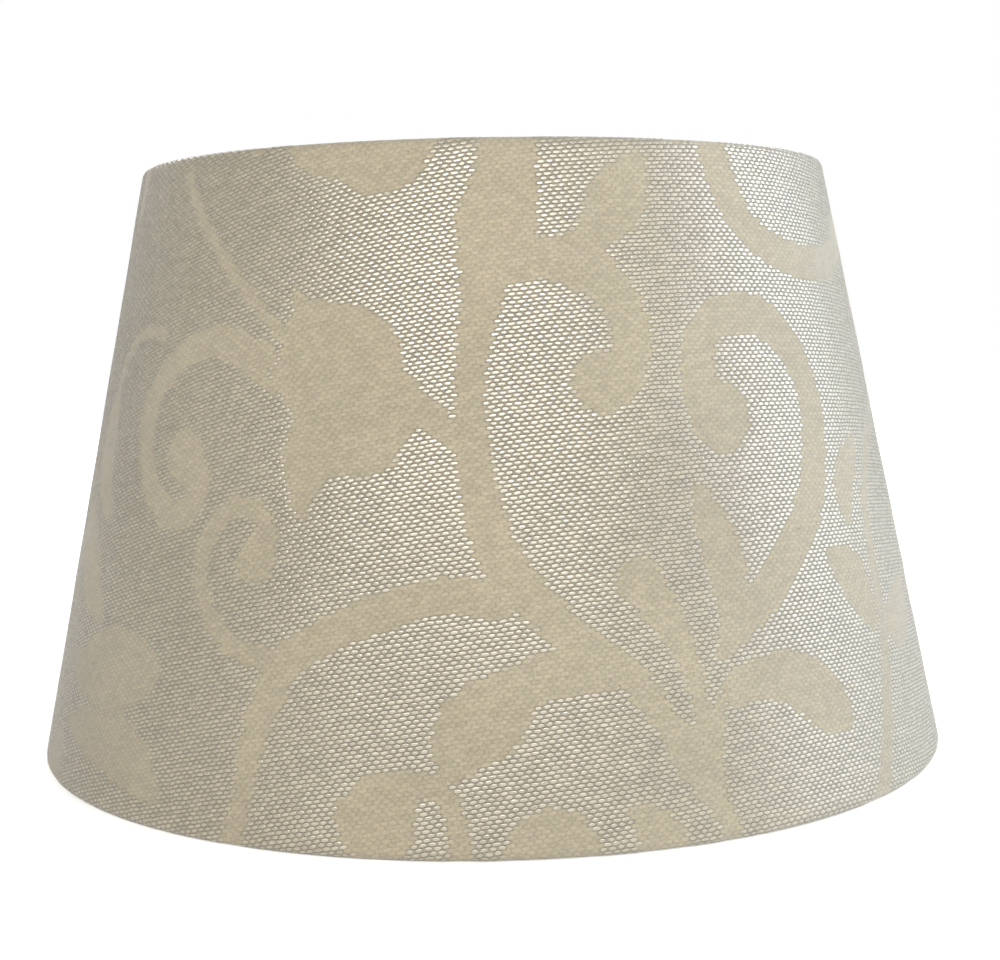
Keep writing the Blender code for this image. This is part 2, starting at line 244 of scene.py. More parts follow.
LEAVES = (
    # half bud at the top
    ((-49, 200), (-42, 187), (-35, 181), (-29, 180), (-21, 182), (-16, 187), (-13, 200)),
    # leaf at the top right of the stem
    ((19, 165), (25.5, 171), (29, 181), (35, 188), (42.5, 192), (46.5, 192), (47, 186), (46, 177.5),
     (42.5, 170), (35, 164.5), (33, 159.5), (22, 158)),
    # flower
    ((-54, 159.5), (-52, 154), (-40, 150.5), (-30, 147), (-24, 140), (-22, 131), (-17.5, 125.5), (-9, 117),
     (-8.5, 108), (-15, 112.5), (-19.5, 115), (-23, 110), (-26, 105), (-34, 102), (-42.5, 102.5), (-48, 99),
     (-52, 91), (-56.5, 100), (-58, 110), (-55, 119), (-59, 126), (-62, 130), (-57.5, 142.5), (-55, 151)),
    # leaf under the arch
    ((35, 46), (30, 51), (21, 56), (12, 54), (3, 50), (-7.5, 46), (-14.5, 39), (-16, 30), (-12, 20),
     (-2.5, 25), (7.5, 31), (11, 39), (20, 43), (32.5, 44.5)),
    # pointed leaf in the loop
    ((57.5, 100), (65.5, 95), (72, 85), (74, 74.5), (70, 60), (64.5, 52.5), (63.5, 65), (60, 77.5),
     (57.5, 90)),
    # blunt bud at the bottom
    ((34.5, 13), (39, 14.5), (45, 13.5), (49, 10), (52, 6.5), (54, 2), (56, -6), (40, -6), (38.5, 4),
     (36.5, 9)),
    # leaf at the lower right
    ((64, 44), (70, 50), (85, 54), (97.5, 52.5), (107.5, 46), (114.5, 39), (113, 32), (106, 30.5),
     (97.5, 32.5), (87.5, 39), (77.5, 40.5), (69, 39)),
    # leaves on the far right
    ((115, 102.5), (120, 113), (130, 120), (132.5, 115), (127, 102.5), (121, 90)),
    ((107.5, 82.5), (117.5, 85), (127.5, 81), (133, 70), (132, 60), (122.5, 65), (112.5, 73)),
    ((140, 62), (150, 75), (163, 79), (168, 70), (160, 60), (150, 56)),
    # leaves on the far left
    ((-140, 140), (-147.5, 134.5), (-152.5, 122), (-150, 109.5), (-140, 99), (-133.5, 100), (-137.5, 110),
     (-137, 125), (-137, 137)),
    ((-165, 105), (-161, 85), (-152, 75), (-142, 67.5), (-135, 69), (-140, 80), (-147, 95), (-155, 105)),
    ((-167, 61), (-150, 60), (-135, 65), (-120, 64.5), (-107.5, 59), (-101, 51), (-107.5, 45), (-120, 41),
     (-132.5, 42.5), (-145, 45)),
    ((-165, 52.5), (-157.5, 40.5), (-145, 42.5), (-130, 41), (-115, 37.5), (-105, 27.5), (-101, 15),
     (-115, 17.5), (-132.5, 25), (-147.5, 30), (-160, 40)),
)
FIGURE_ROUND = (330, 42)  # mm, from one repeat of the figure to the next round the cloth
FIGURE_UP = (-59, 205)  # and to the next one up it
FIGURE_SIDE = 190  # a repeat reaches this far to each side of its middle
FIGURE_FOOT, FIGURE_HEAD = -30, 225
FIGURE_MARGIN = 20  # points further than this beside a shape aren't measured from it
FAR_OFF = 1000.0


def eased(points, closed):
    """The points with three more drawn between each two, on one smooth curve."""
    given = np.array(points, float)
    if closed:
        before, here, after, later = (np.roll(given, k, 0) for k in (1, 0, -1, -2))
    else:
        longer = np.vstack((2 * given[0] - given[1], given, 2 * given[-1] - given[-2]))
        before, here, after, later = longer[:-3], longer[1:-2], longer[2:-1], longer[3:]
    steps = []
    for t in (0.0, 0.25, 0.5, 0.75):
        linear = 2 * here + (after - before) * t
        square = (2 * before - 5 * here + 4 * after - later) * t**2
        cube = (3 * here - before - 3 * after + later) * t**3
        steps.append((linear + square + cube) / 2)
    curve = np.stack(steps, 1).reshape(-1, given.shape[1])
    return curve if closed else np.vstack((curve, given[-1:]))


scroll_curves = [eased(scroll, False) for scroll in SCROLLS]
leaf_curves = [eased(leaf, True) for leaf in LEAVES]


def along_edge(x, y, x0, y0, x1, y1):
    """How far each point lies from a straight edge, and its share of the way along it."""
    dx, dy = x1 - x0, y1 - y0
    share = np.clip(((x - x0) * dx + (y - y0) * dy) / max(dx * dx + dy * dy, 1e-9), 0, 1)
    return np.hypot(x - x0 - share * dx, y - y0 - share * dy), share


def beside(curve, x):
    """Which points lie near enough to a curve, across the cloth, to be measured from it."""
    return (x > curve[:, 0].min() - FIGURE_MARGIN) & (x < curve[:, 0].max() + FIGURE_MARGIN)


def inside_figure(x, y):
    """Distance in mm to the nearest outline of one repeat of the figure, below 0 inside the figure."""
    nearest = np.full(len(x), FAR_OFF)
    for curve in scroll_curves:
        near = beside(curve, x)
        px, py, found = x[near], y[near], nearest[near]
        for (x0, y0, w0), (x1, y1, w1) in zip(curve, curve[1:]):
            far, share = along_edge(px, py, x0, y0, x1, y1)
            found = np.minimum(found, far - (w0 + share * (w1 - w0)) / 2)
        nearest[near] = found
    for curve in leaf_curves:
        near = beside(curve, x)
        px, py = x[near], y[near]
        found, within = np.full(len(px), FAR_OFF), np.zeros(len(px), bool)
        for (x0, y0), (x1, y1) in zip(curve, np.roll(curve, -1, 0)):
            found = np.minimum(found, along_edge(px, py, x0, y0, x1, y1)[0])
            crossed = x0 + (py - y0) * (x1 - x0) / ((y1 - y0) or 1e-9)
            within ^= ((y0 > py) != (y1 > py)) & (px < crossed)
        nearest[near] = np.minimum(nearest[near], np.where(within, -found, found))
    return nearest


def figure_distance(x, y):
    """The same over the whole cloth, with the figure repeated round it and up it."""
    nearest = np.full(len(x), FAR_OFF)
    for across in (-2, -1, 0, 1, 2):
        for up in (-1, 0, 1, 2):
            px = x - across * FIGURE_ROUND[0] - up * FIGURE_UP[0]
            py = y - across * FIGURE_ROUND[1] - up * FIGURE_UP[1]
            near = (abs(px) < FIGURE_SIDE) & (py > FIGURE_FOOT) & (py < FIGURE_HEAD)
            if near.any():
                nearest[near] = np.minimum(nearest[near], inside_figure(px[near], py[near]))
    return nearest


# The cloth's cut: a part of a flat ring, whose point is this far below the bottom edge.
CUT_RADIUS = 0.7726
CUT_SHARE = 0.1941  # of a turn on the flat for each turn round the shade
THREADS = ((0.83, 0.10), (-0.11, 0.87))  # warp and weft threads to a mm of cloth, along x and y
SLOPE_STEP = 0.5  # mm

top_hem = hem_line(top_ring, 1)
wall = wall_line(CLOTH_ROWS, wall_offset)
bottom_hem = hem_line(bottom_ring, -1)
cover_line = top_hem[:0:-1] + wall + bottom_hem[1:]
wall_first, wall_last = HEM_ROWS, HEM_ROWS + CLOTH_ROWS
cover_turn = 2 * math.pi + seam_angle
cover_mesh = spun(cover_line, SEAM_START, cover_turn, CLOTH_COLUMNS)

# Where each row lies along the cloth, from the bottom edge up.
row_places = np.array([p for p, _, _ in cover_line])
row_steps = np.hypot(*np.diff(row_places, axis=0).T)
row_along = np.concatenate(([0.0], np.cumsum(row_steps)))
row_along = row_along[wall_last] - row_along + row_places[wall_last][1] / math.cos(lean)

rows = len(cover_line)
columns = CLOTH_COLUMNS + 1
angles = SEAM_START + cover_turn * np.arange(columns) / CLOTH_COLUMNS
round_front = (angles - 1.5 * math.pi)[:, None]
from_point = (CUT_RADIUS - row_along)[None, :]
cut_x = 1000 * (from_point * np.sin(CUT_SHARE * round_front)).ravel()
cut_y = 1000 * (CUT_RADIUS - from_point * np.cos(CUT_SHARE * round_front)).ravel()
figure = figure_distance(cut_x, cut_y)
slope_x = (figure_distance(cut_x + SLOPE_STEP, cut_y) - figure) / SLOPE_STEP
slope_y = (figure_distance(cut_x, cut_y + SLOPE_STEP) - figure) / SLOPE_STEP
(warp_x, warp_y), (weft_x, weft_y) = THREADS
warp = warp_x * cut_x + warp_y * cut_y
weft = weft_x * cut_x + weft_y * cut_y
spread = warp_x * weft_y - warp_y * weft_x
slope_warp = (weft_y * slope_x - weft_x * slope_y) / spread
slope_weft = (-warp_y * slope_x + warp_x * slope_y) / spread

# Each point of the cloth carries its thread counts, and the figure's distance and slope for the weave.
# A second map lays the outer face out in two strips, so that baked cloth keeps its threads.
BAKE_STRIP = 0.475  # the height of one strip on the map
BAKE_GAP = 0.004
row_share = (row_along[0] - row_along) / (row_along[0] - row_along[-1])
figure_layer = cover_mesh.verts.layers.float_vector.new("figure")
thread_layer = cover_mesh.loops.layers.uv.new("threads")
bake_layer = cover_mesh.loops.layers.uv.new("OFBake")
cover_mesh.verts.ensure_lookup_table()
for vert in cover_mesh.verts:
    vert[figure_layer] = (figure[vert.index], slope_warp[vert.index], slope_weft[vert.index])
for face in cover_mesh.faces:
    strip = int(min(vert.index for vert in face.verts) // rows >= CLOTH_COLUMNS // 2)
    for loop in face.loops:
        loop[thread_layer].uv = (warp[loop.vert.index], weft[loop.vert.index])
        column, row = divmod(loop.vert.index, rows)
        height = strip * BAKE_STRIP + row_share[row] * (BAKE_STRIP - BAKE_GAP)
        loop[bake_layer].uv = (2 * column / CLOTH_COLUMNS - strip, height)

# Lift the overlapping end clear of the first one, sink the figure and let the cloth wander a little.
lift_column = np.clip((angles - (SEAM_START + 2 * math.pi - SEAM_RAMP)) / SEAM_RAMP, 0, 1)
lift_column = lift_column**2 * (3 - 2 * lift_column)
hem_angle = np.array([angle for _, _, angle in cover_line])
lift_row = np.cos(math.pi / 2 * np.clip(hem_angle / HEM_LAP_FADE, 0, 1)) ** 2
sunk = np.clip(0.5 - figure / FIGURE_STEP, 0, 1).reshape(columns, rows)
for column in range(columns):
    spoke = Vector((math.cos(angles[column]), math.sin(angles[column]), 0))
    for row, (place, outward, _) in enumerate(cover_line):
        vert = cover_mesh.verts[column * rows + row]
        wander = noise.noise(vert.co * SLACK_WAVES[0]) + 0.5 * noise.noise(vert.co * SLACK_WAVES[1])
        move = seam_lift * lift_column[column] * lift_row[row] - FIGURE_SINK * sunk[column, row]
        move += SLACK * wander * lift_row[row]
        vert.co += float(move) * (outward.x * spoke + Vector((0, 0, outward.y)))

# The first end is trimmed out of the hems, under the seam.
under = round(seam_angle / (cover_turn / CLOTH_COLUMNS))
trimmed = [
    face
    for face in cover_mesh.faces
    if max(v.index for v in face.verts) // rows <= under
    and not wall_first + 1 <= min(v.index % rows for v in face.verts) <= wall_last - 2
]
bmesh.ops.delete(cover_mesh, geom=trimmed, context="FACES")
bmesh.ops.recalc_face_normals(cover_mesh, faces=cover_mesh.faces)
cover_sheet = as_mesh("cloth_cover", cover_mesh)
for _ in ("outer face", "inner face"):
    cover_sheet.materials.append(None)

# The hem is notched where the four legs of the arms come through it.
ARM_SPREAD = 0.032  # between an arm's two welds on the top ring
ARM_REACH = 0.052  # from the axis to the centre of the arm's inner bend
ARM_BEND = 0.005
NOTCH_RADIUS = RING_WIRE / 2 + 0.0006  # clear of the wire by this much
NOTCH_LENGTH = 0.0052
arm_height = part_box("arm_left")[0].z + RING_WIRE / 2


def arm_leg(side, edge):
    """Where an arm's leg meets the top ring and where it leaves the bend, and its slope seen from above."""
    weld_angle = math.asin(ARM_SPREAD / 2 / top_ring.x)
    weld = top_ring.x * Vector((math.cos(weld_angle), math.sin(weld_angle)))
    to_weld = weld - Vector((ARM_REACH, 0))
    slope = math.atan2(to_weld.y, to_weld.x) - math.asin(ARM_BEND / to_weld.length)
    tangent = Vector((ARM_REACH, 0)) + ARM_BEND * Vector((-math.sin(slope), math.cos(slope)))
    outer = Vector((side * weld.x, edge * weld.y, top_ring.y))
    inner = Vector((side * tangent.x, edge * tangent.y, arm_height))
    return outer, inner, slope


notch_mesh = bmesh.new()
for side in (-1, 1):
    for edge in (-1, 1):
        outer, inner, _ = arm_leg(side, edge)
        along_leg = (inner - outer).normalized()
        turned = along_leg.to_track_quat("Z", "Y").to_matrix().to_4x4()
        placed = Matrix.Translation(outer + along_leg * NOTCH_LENGTH / 2) @ turned
        rod = {"radius1": NOTCH_RADIUS, "radius2": NOTCH_RADIUS, "depth": NOTCH_LENGTH}
        bmesh.ops.create_cone(notch_mesh, cap_ends=True, segments=20, matrix=placed, **rod)
notches = put_in_scene("notches", bpy.data.meshes.new("notches"))
notch_mesh.to_mesh(notches.data)
notch_mesh.free()
even_thickness = {"offset": 0.0, "use_even_offset": True}  # thickened evenly to both sides
glued_face = {"material_offset": 1, "material_offset_rim": 1}
cover_solid = applied(
    "cloth_cover",
    cover_sheet,
    ("SOLIDIFY", {"thickness": CLOTH_THICKNESS, **even_thickness, **glued_face}),
    ("BOOLEAN", {"operation": "DIFFERENCE", "solver": "EXACT", "object": notches}),
)
bpy.data.objects.remove(notches)
glued_share = 1 - 2 * BAKE_STRIP  # the glued face has what the two strips leave of the map
bake_places = cover_solid.uv_layers["OFBake"].uv
for face in cover_solid.polygons:
    if face.material_index == 1:
        for corner in face.loop_indices:
            bake_places[corner].vector.y = 2 * BAKE_STRIP + glued_share * bake_places[corner].vector.y

# The yarns' colours, a painted-shade colour for the hollows between threads, and the roughness of the dull
# threads and of the satin floats.
GROUND_FLOAT = (0.60, 0.54, 0.41)
GROUND_CROSSING = (0.34, 0.294, 0.204)
GROUND_PIT_SHADE = (0.15, 0.124, 0.078)
FIGURE_FLOAT = (0.485, 0.42, 0.29)
FIGURE_CROSSING = (0.405, 0.349, 0.237)
MATT_YARN, SATIN_YARN = 0.90, 0.25
FIGURE_HAIR, GROUND_HAIR = 0.75, 0.35  # the flat weave is hairier
FLOAT_HEIGHT = 0.00020


def wired(tree, socket, value):
    """Sets a socket to a value or links it to another node's output."""
    if isinstance(value, bpy.types.NodeSocket):
        tree.links.new(value, socket)
    elif socket.type == "RGBA":
        socket.default_value = (*value, 1.0)
    else:
        socket.default_value = value


def maths(tree, operation, *values):
    """What a Math node makes of numbers or outputs."""
    step = tree.nodes.new("ShaderNodeMath")
    step.operation = operation
    for socket, value in zip(step.inputs, values):
        wired(tree, socket, value)
    return step.outputs[0]


def times(tree, first, second):
    return maths(tree, "MULTIPLY", first, second)


def plus(tree, first, second):
    return maths(tree, "ADD", first, second)


def minus(tree, first, second):
    return maths(tree, "SUBTRACT", first, second)


def faded(tree, value, low, high, low_out=0.0, high_out=1.0, smooth=True):
    """The value mapped from one range to another, held at its ends."""
    step = tree.nodes.new("ShaderNodeMapRange")
    step.interpolation_type = "SMOOTHSTEP" if smooth else "LINEAR"
    for name, number in (("From Min", low), ("From Max", high), ("To Min", low_out), ("To Max", high_out)):
        step.inputs[name].default_value = number
    wired(tree, step.inputs["Value"], value)
    return step.outputs["Result"]


def blended(tree, share, first, second):
    """Two colours mixed by a share."""
    step = tree.nodes.new("ShaderNodeMix")
    step.data_type = "RGBA"
    wired(tree, step.inputs["Factor"], share)
    wired(tree, step.inputs[6], first)
    wired(tree, step.inputs[7], second)
    return step.outputs[2]


def vector_of(tree, x, y):
    """A vector of two numbers or outputs, flat in its plane."""
    step = tree.nodes.new("ShaderNodeCombineXYZ")
    for socket, value in zip(step.inputs, (x, y)):
        wired(tree, socket, value)
    return step.outputs[0]


def parts_of(tree, vector):
    """A vector's X, Y and Z."""
    step = tree.nodes.new("ShaderNodeSeparateXYZ")
    wired(tree, step.inputs[0], vector)
    return step.outputs


def cloudy(tree, vector, scale, detail=2.0, roughness=0.5):
    """A Noise texture's outputs, Fac and Color."""
    step = tree.nodes.new("ShaderNodeTexNoise")
    wired(tree, step.inputs["Vector"], vector)
    step.inputs["Scale"].default_value = scale
    step.inputs["Detail"].default_value = detail
    step.inputs["Roughness"].default_value = roughness
    return step.outputs["Fac"], step.outputs["Color"]


def new_finish(name):
    """A material with its node tree and its shader."""
    material = bpy.data.materials.new(name)
    material.use_nodes = True
    return material, material.node_tree, material.node_tree.nodes["Principled BSDF"]


def toned(tree, shader, colour, tone):
    """Gives the finish a colour, made darker or lighter by a tone near 1."""
    step = tree.nodes.new("ShaderNodeVectorMath")
    step.operation = "SCALE"
    wired(tree, step.inputs[0], colour)
    wired(tree, step.inputs["Scale"], tone)
    wired(tree, shader.inputs["Base Color"], step.outputs[0])


def bumped(tree, shader, height, depth):
    """Raises the surface by height, from 0 to 1, times a depth in metres."""
    step = tree.nodes.new("ShaderNodeBump")
    step.inputs["Strength"].default_value = 1.0
    step.inputs["Distance"].default_value = depth
    wired(tree, step.inputs["Height"], height)
    tree.links.new(step.outputs["Normal"], shader.inputs["Normal"])


def woven_cloth():
    """Ivory floats in brick order over taupe threads, and a flat beige weave inside the figure, with painted
    shade in the hollows and at the thread edges.
    """
    material, tree, shader = new_finish("figured_cloth")
    thread_map = tree.nodes.new("ShaderNodeUVMap")
    thread_map.uv_map = "threads"
    figure_map = tree.nodes.new("ShaderNodeAttribute")
    figure_map.attribute_name = "figure"
    warp_count, weft_count, _ = parts_of(tree, thread_map.outputs["UV"])
    distance, warp_slope, weft_slope = parts_of(tree, figure_map.outputs["Vector"])

    _, wander = cloudy(tree, thread_map.outputs["UV"], 0.30, 1.0)
    wander_warp, wander_weft, _ = parts_of(tree, wander)
    warp_at = plus(tree, warp_count, maths(tree, "MULTIPLY_ADD", wander_warp, 0.7, -0.35))
    weft_at = plus(tree, weft_count, maths(tree, "MULTIPLY_ADD", wander_weft, 0.5, -0.25))

    row = maths(tree, "FLOOR", weft_at)
    odd = maths(tree, "FLOORED_MODULO", row, 2.0)
    brick = times(tree, plus(tree, warp_at, odd), 0.5)
    cell = maths(tree, "FLOOR", brick)
    along = maths(tree, "MULTIPLY_ADD", minus(tree, brick, cell), 2.0, -1.0)
    across = minus(tree, minus(tree, weft_at, row), 0.5)

    chance = tree.nodes.new("ShaderNodeTexWhiteNoise")
    chance.noise_dimensions = "2D"
    wired(tree, chance.inputs["Vector"], vector_of(tree, cell, row))
    luck, luck_too, _ = parts_of(tree, chance.outputs["Color"])

    # The figure's edge runs between floats, so the distance is taken at the middle of each one.
    to_middle_warp = times(tree, times(tree, along, -1.0), warp_slope)
    to_middle_weft = times(tree, times(tree, across, -1.0), weft_slope)
    at_middle = plus(tree, distance, plus(tree, to_middle_warp, to_middle_weft))
    ragged = plus(tree, at_middle, maths(tree, "MULTIPLY_ADD", luck_too, 0.7, -0.35))
    in_ground = faded(tree, ragged, -0.15, 0.15)

    # An ivory float lies over two threads, and a duller thread crosses the row between two floats.
    from_middle = maths(tree, "ABSOLUTE", along)
    from_row = maths(tree, "ABSOLUTE", across)
    float_length = maths(tree, "MULTIPLY_ADD", luck, 0.16, 0.76)
    end_on = maths(tree, "POWER", maths(tree, "DIVIDE", from_middle, float_length), 2.8)
    side_on = maths(tree, "POWER", maths(tree, "DIVIDE", from_row, 0.49), 3.2)
    past_float = plus(tree, end_on, side_on)
    crown = maths(tree, "MAXIMUM", minus(tree, 1.0, past_float), 0.0)
    # The float's mask softens towards its edges, so in the colour below it paints shade round each float's
    # dome as well as marking where the float lies.
    float_and_edge_shade = faded(tree, crown, 0.0, 0.85)
    from_end = minus(tree, 1.0, from_middle)
    cross_end = maths(tree, "POWER", maths(tree, "DIVIDE", from_end, 0.42), 2.0)
    cross_side = maths(tree, "POWER", maths(tree, "DIVIDE", from_row, 0.60), 3.0)
    past_crossing = plus(tree, cross_end, cross_side)
    crossing = maths(tree, "MAXIMUM", minus(tree, 1.0, past_crossing), 0.0)

    # Fibres lie close and long in the yarn, slubs are few and longer, and the dye and fluff are uneven.
    fibre_x, fibre_y = times(tree, warp_at, 0.8), times(tree, weft_at, 7.0)
    fibres, _ = cloudy(tree, vector_of(tree, fibre_x, fibre_y), 1.0, 2.0)
    slub_x, slub_y = times(tree, warp_at, 0.12), times(tree, weft_at, 0.8)
    slubs, _ = cloudy(tree, vector_of(tree, slub_x, slub_y), 1.0, 1.0)
    patches, _ = cloudy(tree, thread_map.outputs["UV"], 0.02, 2.0)
    fluff, _ = cloudy(tree, thread_map.outputs["UV"], 1.7, 2.0, 0.65)

    # The gaps between threads get the near-black pit colour and each crossing thread darkens into them:
    # painted shade in the hollows of the weave.
    ground = blended(tree, faded(tree, crossing, 0.0, 0.6), GROUND_PIT_SHADE, GROUND_CROSSING)
    ground = blended(tree, float_and_edge_shade, ground, GROUND_FLOAT)
    drawn = blended(tree, float_and_edge_shade, FIGURE_CROSSING, FIGURE_FLOAT)
    yarn = blended(tree, in_ground, drawn, ground)
    hair = faded(tree, in_ground, 0.0, 1.0, FIGURE_HAIR, GROUND_HAIR)
    tone = faded(tree, fibres, 0.3, 0.7, 0.92, 1.07)
    for other in (
        faded(tree, luck, 0, 1, 0.92, 1.06),
        faded(tree, patches, 0.3, 0.7, 0.95, 1.04),
        faded(tree, slubs, 0.74, 0.80, 1.0, 0.70),
        maths(tree, "MULTIPLY_ADD", minus(tree, fluff, 0.5), hair, 1.0),
    ):
        tone = times(tree, tone, other)
    toned(tree, shader, yarn, tone)

    satin = times(tree, float_and_edge_shade, in_ground)
    dull = faded(tree, satin, 0.0, 1.0, MATT_YARN, SATIN_YARN, False)
    dull = plus(tree, dull, times(tree, luck_too, 0.10))
    wired(tree, shader.inputs["Roughness"], dull)
    shader.inputs["IOR"].default_value = 2.0
    shader.inputs["Specular IOR Level"].default_value = 1.0
    shader.inputs["Sheen Weight"].default_value = 0.5
    shader.inputs["Sheen Roughness"].default_value = 0.5
    low_crossing = times(tree, crossing, 0.45)
    raised = maths(tree, "MAXIMUM", maths(tree, "POWER", crown, 0.7), low_crossing)
    raised = times(tree, raised, faded(tree, in_ground, 0, 1, 0.35, 1.0))
    raised = plus(tree, raised, times(tree, fibres, 0.05))
    bumped(tree, shader, raised, FLOAT_HEIGHT)
    return material


cloth_cover = add_piece(
    "cloth_cover", cover_solid, "shade", woven_cloth(), "cover_cloth", "fabric_cover", "cover_lap"
)

# ---- Lining ----
# A stiff white card bonded to the back of the cloth, so that the shade keeps its round. It lies
# between the cloth and the rings, and its ends overlap in a glued seam at the back.
CARD_COLUMNS = 180
CARD_ROWS = 36
CARD_SEAM_START = math.pi / 2
CARD_TRIM = 0.0062  # the overlapping end stops this far short of the rings
LINING_WHITE = (0.86, 0.855, 0.82)

card_offset = RING_WIRE / 2 + GLUE_GAP + CARD_THICKNESS / 2
card_trim_rows = math.ceil(CARD_TRIM / ((top_ring - bottom_ring).length / CARD_ROWS))
card_line = wall_line(CARD_ROWS, card_offset)
card_turn = 2 * math.pi + seam_angle
card = spun(card_line, CARD_SEAM_START, card_turn, CARD_COLUMNS)
card_rows = len(card_line)
card.verts.ensure_lookup_table()
for column in range(CARD_COLUMNS + 1):
    angle = CARD_SEAM_START + card_turn * column / CARD_COLUMNS
    share = min(max((angle - (CARD_SEAM_START + 2 * math.pi - SEAM_RAMP)) / SEAM_RAMP, 0.0), 1.0)
    lift = (CARD_THICKNESS + GLUE_GAP) * share**2 * (3 - 2 * share)
    out_of_card = Vector((math.cos(angle), math.sin(angle), 0)) * out_of_wall.x
    out_of_card.z = out_of_wall.y
    for row in range(card_rows):
        card.verts[column * card_rows + row].co -= lift * out_of_card
over_columns = CARD_COLUMNS - round((seam_angle + SEAM_RAMP) / (card_turn / CARD_COLUMNS))
trimmed = [
    face
    for face in card.faces
    if min(v.index for v in face.verts) // card_rows >= over_columns
    and not card_trim_rows <= min(v.index % card_rows for v in face.verts) < card_rows - 1 - card_trim_rows
]
bmesh.ops.delete(card, geom=trimmed, context="FACES")
bmesh.ops.recalc_face_normals(card, faces=card.faces)
card_thickness = ("SOLIDIFY", {"thickness": CARD_THICKNESS, **even_thickness})
card_solid = applied("card_lining", as_mesh("card_lining", card), card_thickness)


def object_place(tree, stretch=(1.0, 1.0, 1.0)):
    """Object coordinates in metres, stretched for a pattern that runs one way."""
    place = tree.nodes.new("ShaderNodeTexCoord").outputs["Object"]
    mapping = tree.nodes.new("ShaderNodeMapping")
    mapping.inputs["Scale"].default_value = stretch
    tree.links.new(place, mapping.inputs["Vector"])
    return mapping.outputs["Vector"]


def white_card():
    """Satin card: faint fibres, a little uneven in tone, with soft dimples where it is glued."""
    material, tree, shader = new_finish("white_card")
    place = object_place(tree)
    fibres, _ = cloudy(tree, place, 1400.0, 3.0, 0.6)
    patches, _ = cloudy(tree, place, 18.0, 3.0)
    dimples, _ = cloudy(tree, place, 160.0, 2.0)
    fibre_tone = faded(tree, fibres, 0.3, 0.7, 0.97, 1.02)
    tone = times(tree, fibre_tone, faded(tree, patches, 0.3, 0.7, 0.95, 1.02))
    toned(tree, shader, LINING_WHITE, tone)
    wired(tree, shader.inputs["Roughness"], faded(tree, patches, 0.3, 0.7, 0.42, 0.58))
    height = plus(tree, times(tree, fibres, 0.25), dimples)
    bumped(tree, shader, height, 0.00006)
    return material


add_piece("card_lining", card_solid, "shade", white_card(), "lining", "lining_panel", "lining_lap")

# ---- Rings ----
# Two hoops of steel wire, butt-welded and coated white. The cloth's edges are rolled round them.
HOOP_SEGMENTS = 180
WIRE_SEGMENTS = 16
COATING_WHITE = (0.80, 0.80, 0.78)
COATING_WORN = (0.58, 0.57, 0.54)


def white_coating():
    """Epoxy-coated wire: soft gloss, orange peel, and a greyer tone where the coating is thin."""
    material, tree, shader = new_finish("white_coating")
    place = object_place(tree)
    peel, _ = cloudy(tree, place, 900.0, 2.0)
    thin, _ = cloudy(tree, place, 140.0, 4.0, 0.65)
    worn = faded(tree, thin, 0.60, 0.78)
    wired(tree, shader.inputs["Base Color"], blended(tree, worn, COATING_WHITE, COATING_WORN))
    wired(tree, shader.inputs["Roughness"], faded(tree, thin, 0.3, 0.7, 0.30, 0.46))
    shader.inputs["Coat Weight"].default_value = 0.15
    shader.inputs["Coat Roughness"].default_value = 0.25
    bumped(tree, shader, plus(tree, peel, times(tree, worn, -0.4)), 0.00004)
    return material


coating = white_coating()


def closed_up(work):
    """Joins the points that lie together and turns the faces outwards."""
    bmesh.ops.remove_doubles(work, verts=work.verts, dist=0.00001)
    bmesh.ops.recalc_face_normals(work, faces=work.faces)
    return work


def turned_round(work, outline, steps):
    """Turns an outline through a full circle about the shade's axis."""
    axis = {"cent": (0, 0, 0), "axis": (0, 0, 1), "angle": 2 * math.pi}
    bmesh.ops.spin(work, geom=outline, steps=steps, use_merge=True, **axis)
    return closed_up(work)


def hoop(ring):
    """A round wire turned through a full circle."""
    work = bmesh.new()
    place = Matrix.Translation((ring.x, 0, ring.y)) @ Matrix.Rotation(math.pi / 2, 4, "X")
    made = bmesh.ops.create_circle(work, segments=WIRE_SEGMENTS, radius=RING_WIRE / 2, matrix=place)
    return turned_round(work, made["verts"] + work.edges[:], HOOP_SEGMENTS)


for word, ring in (("top", top_ring), ("bottom", bottom_ring)):
    hoop_mesh = as_mesh(f"{word}_hoop", hoop(ring))
    add_piece(f"{word}_hoop", hoop_mesh, "shade", coating, "coated_wire", f"{word}_ring")

# ---- Arms ----
# Two hairpins of the same wire, each welded to the top ring at both ends and dropping to a tight bend
# towards the middle. A small bead of weld lies in each joint.
BEND_STEPS = 20
BEAD_REACH = 0.0023
CREASE = math.radians(40)  # edges turned by more than this stay sharp


def bent_wire(name, route, diameter, fullness=None):
    """A solid wire along a route of points, with flat ends. Fullness scales its radius at each point."""
    curve = bpy.data.curves.new(name, "CURVE")
    curve.dimensions = "3D"
    curve.bevel_depth = diameter / 2
    curve.bevel_resolution = WIRE_SEGMENTS // 4 - 1
    curve.use_fill_caps = True
    spline = curve.splines.new("POLY")
    spline.points.add(len(route) - 1)
    for index, (point, place) in enumerate(zip(spline.points, route)):
        point.co = (*place, 1.0)
        point.radius = 1.0 if fullness is None else fullness[index]
    holder = put_in_scene(name, curve)
    graph = bpy.context.evaluated_depsgraph_get()
    mesh = bpy.data.meshes.new_from_object(holder.evaluated_get(graph))
    bpy.data.objects.remove(holder)
    work = bmesh.new()
    work.from_mesh(mesh)
    return closed_up(work)


def add_coated(name, work, body, node):
    """A coated steel piece that stands for a CAD node."""
    add_piece(name, as_mesh(name, work, CREASE), body, coating, "coated_wire", node)


def add_bead(work, place, size, stretch):
    """A lump of weld: a squashed ball with an uneven skin."""
    turned = Matrix.Translation(place) @ Matrix.Diagonal((*stretch, 1.0))
    ball = bmesh.ops.create_uvsphere(work, u_segments=20, v_segments=14, radius=size, matrix=turned)
    for vert in ball["verts"]:
        push = 1 + 0.10 * noise.noise(vert.co * 900)
        vert.co = Vector(place) + (vert.co - Vector(place)) * push


